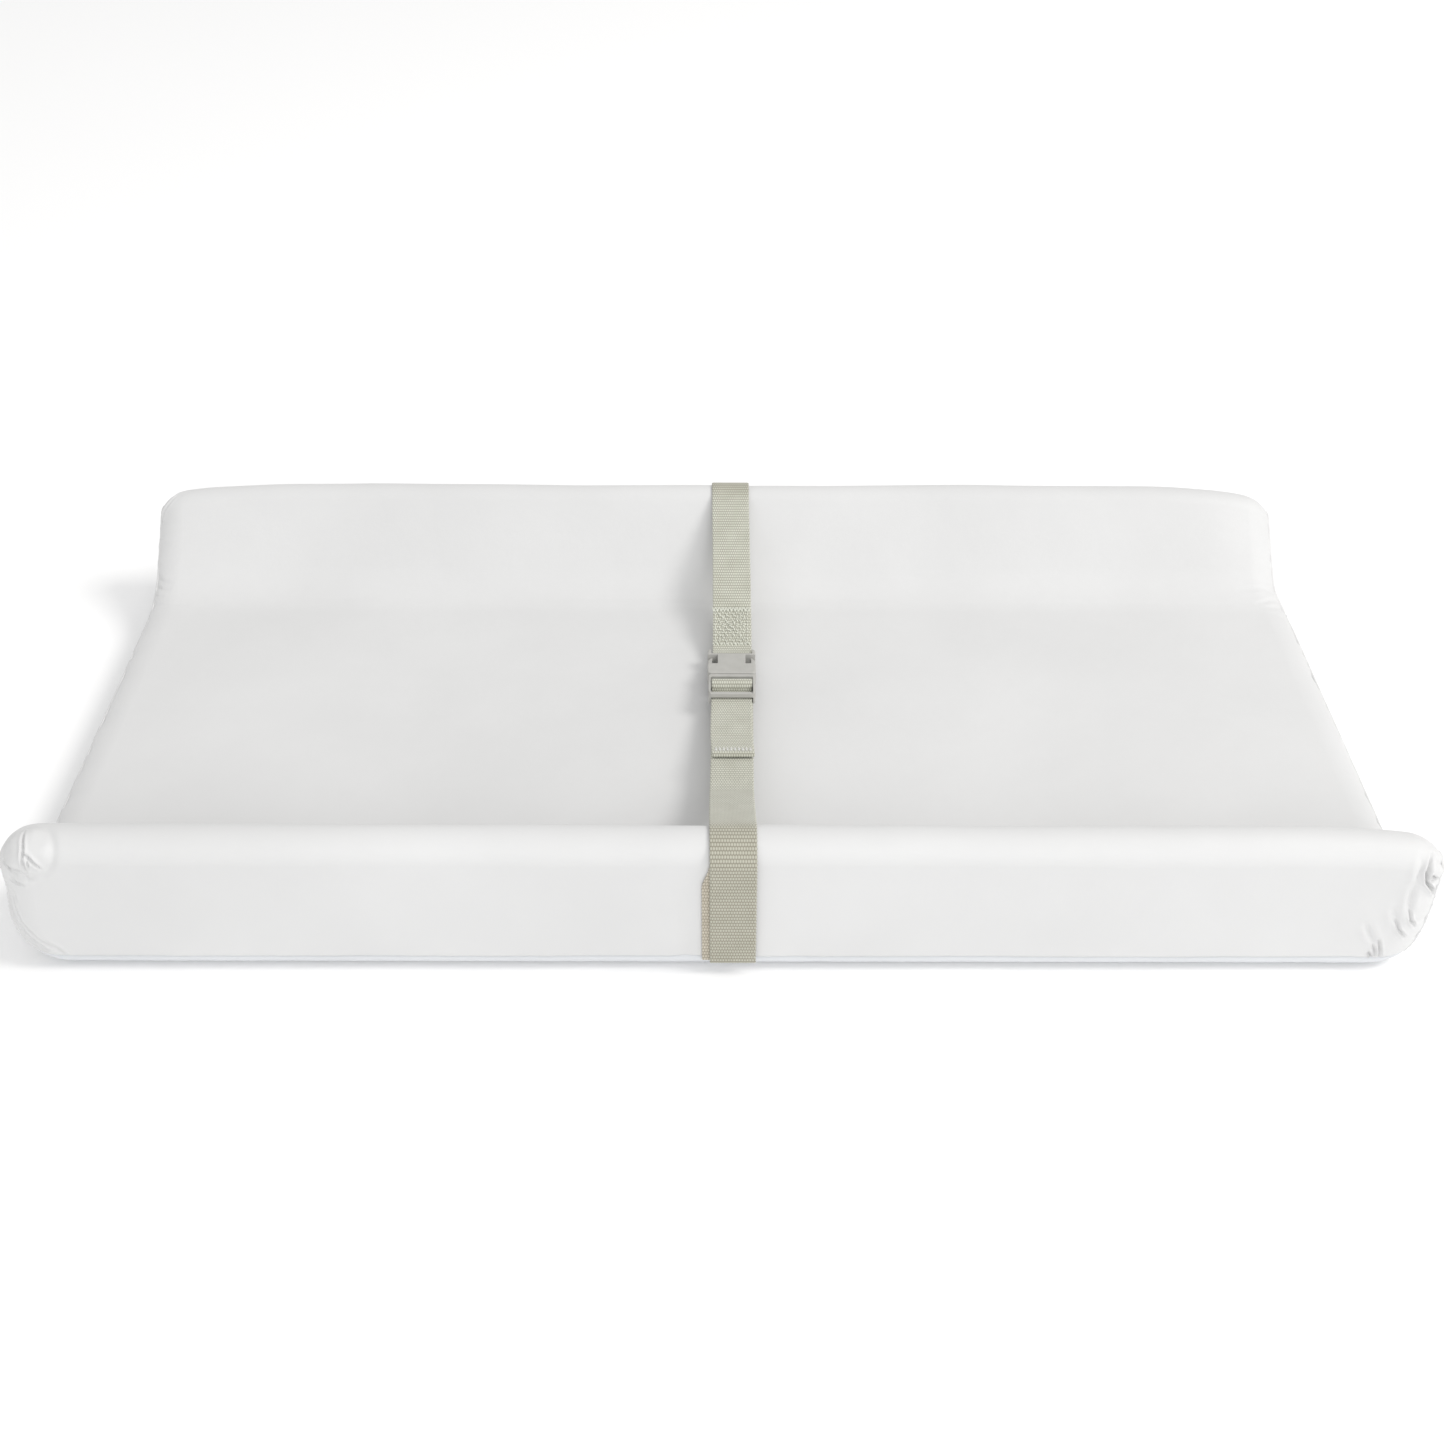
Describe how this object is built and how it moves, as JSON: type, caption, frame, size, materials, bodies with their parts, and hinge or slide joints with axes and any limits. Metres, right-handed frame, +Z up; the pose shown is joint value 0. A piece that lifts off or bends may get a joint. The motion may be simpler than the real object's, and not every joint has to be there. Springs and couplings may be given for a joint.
{
  "type": "contoured changing pad",
  "caption": "Contoured foam changing pad in a wipe-clean cover, raised along both long sides, with a webbing safety strap and a side-release buckle.",
  "frame": {"origin": "middle of the bounding box, on the flat underside", "axes": "+X along the pad's length, +Y towards the rear long side, +Z up"},
  "size_m": [0.793, 0.4108, 0.0912],
  "materials": {
    "foam": "open-cell polyurethane foam",
    "cover_fabric": "smooth coated fabric, soft sheen",
    "underside_fabric": "coated non-slip fabric, matte",
    "webbing": "woven webbing",
    "thread": "sewing thread",
    "buckle_plastic": "moulded, satin",
    "zipper_tape": "woven tape",
    "zipper_coil": "nylon coil",
    "zipper_metal": "plated die casting",
    "label_tape": "blank satin tape"
  },
  "bodies": {
    "root": {"foam_base": "foam", "foam_wedge_rear": "foam", "foam_wedge_front": "foam", "cover_top_panel": "cover_fabric", "cover_bottom_panel": "underside_fabric", "cover_end_left": "cover_fabric", "cover_end_right": "cover_fabric", "end_welt_left": "cover_fabric", "end_welt_right": "cover_fabric", "care_label": "label_tape", "rear_strap_wall": "webbing", "rear_strap_backing": "webbing", "front_strap_wall": "webbing", "front_strap_backing": "webbing", "zipper_tape": "zipper_tape", "zipper_coil": "zipper_coil", "zipper_stop_rear": "zipper_metal", "zipper_stop_front": "zipper_metal"},
    "rear_strap": {"rear_strap_span": "webbing", "box_stitch": "thread", "buckle_socket": "buckle_plastic"},
    "front_strap": {"front_strap_span": "webbing"},
    "plug": {"buckle_plug": "buckle_plastic", "strap_wrap": "webbing"},
    "arm_left": {"plug_arm_left": "buckle_plastic"},
    "arm_right": {"plug_arm_right": "buckle_plastic"},
    "tail": {"strap_tail": "webbing", "hem_stitch": "thread"},
    "slider": {"zipper_slider": "zipper_metal"},
    "pull": {"zipper_pull": "zipper_metal"}
  },
  "joints": [
    {"name": "rear_strap_swing", "type": "hinge", "parent": "root", "child": "rear_strap", "pos_m": [0.00505, 0.2066, 0.0775], "axis": [-1, 0, 0], "range_deg": [0, 195]},
    {"name": "front_strap_swing", "type": "hinge", "parent": "root", "child": "front_strap", "pos_m": [0.00505, -0.2066, 0.0775], "axis": [1, 0, 0], "range_deg": [0, 195]},
    {"name": "plug_slide", "type": "slide", "parent": "front_strap", "child": "plug", "axis": [0, -0.9925, 0.1219], "range_m": [0, 0.028], "deforming": ["plug_arm_left", "plug_arm_right"]},
    {"name": "arm_left_squeeze", "type": "hinge", "parent": "plug", "child": "arm_left", "pos_m": [-0.00425, 0.01707, 0.0454], "axis": [0, -0.1219, -0.9925], "range_deg": [0, 8], "stiffness_Nm_per_rad": 0.3},
    {"name": "arm_right_squeeze", "type": "hinge", "parent": "plug", "child": "arm_right", "pos_m": [0.01435, 0.01707, 0.0454], "axis": [0, 0.1219, 0.9925], "range_deg": [0, 8], "stiffness_Nm_per_rad": 0.3},
    {"name": "tail_lift", "type": "hinge", "parent": "plug", "child": "tail", "pos_m": [0.00505, -0.00949, 0.04736], "axis": [-1, 0, 0], "range_deg": [0, 85]},
    {"name": "zipper_travel", "type": "slide", "parent": "root", "child": "slider", "axis": [0, 1, 0], "range_m": [0, 0.253]},
    {"name": "zipper_pull_swing", "type": "hinge", "parent": "slider", "child": "pull", "pos_m": [0.39495, -0.1265, 0.017], "axis": [0, 0, 1], "range_deg": [0, 170]}
  ]
}
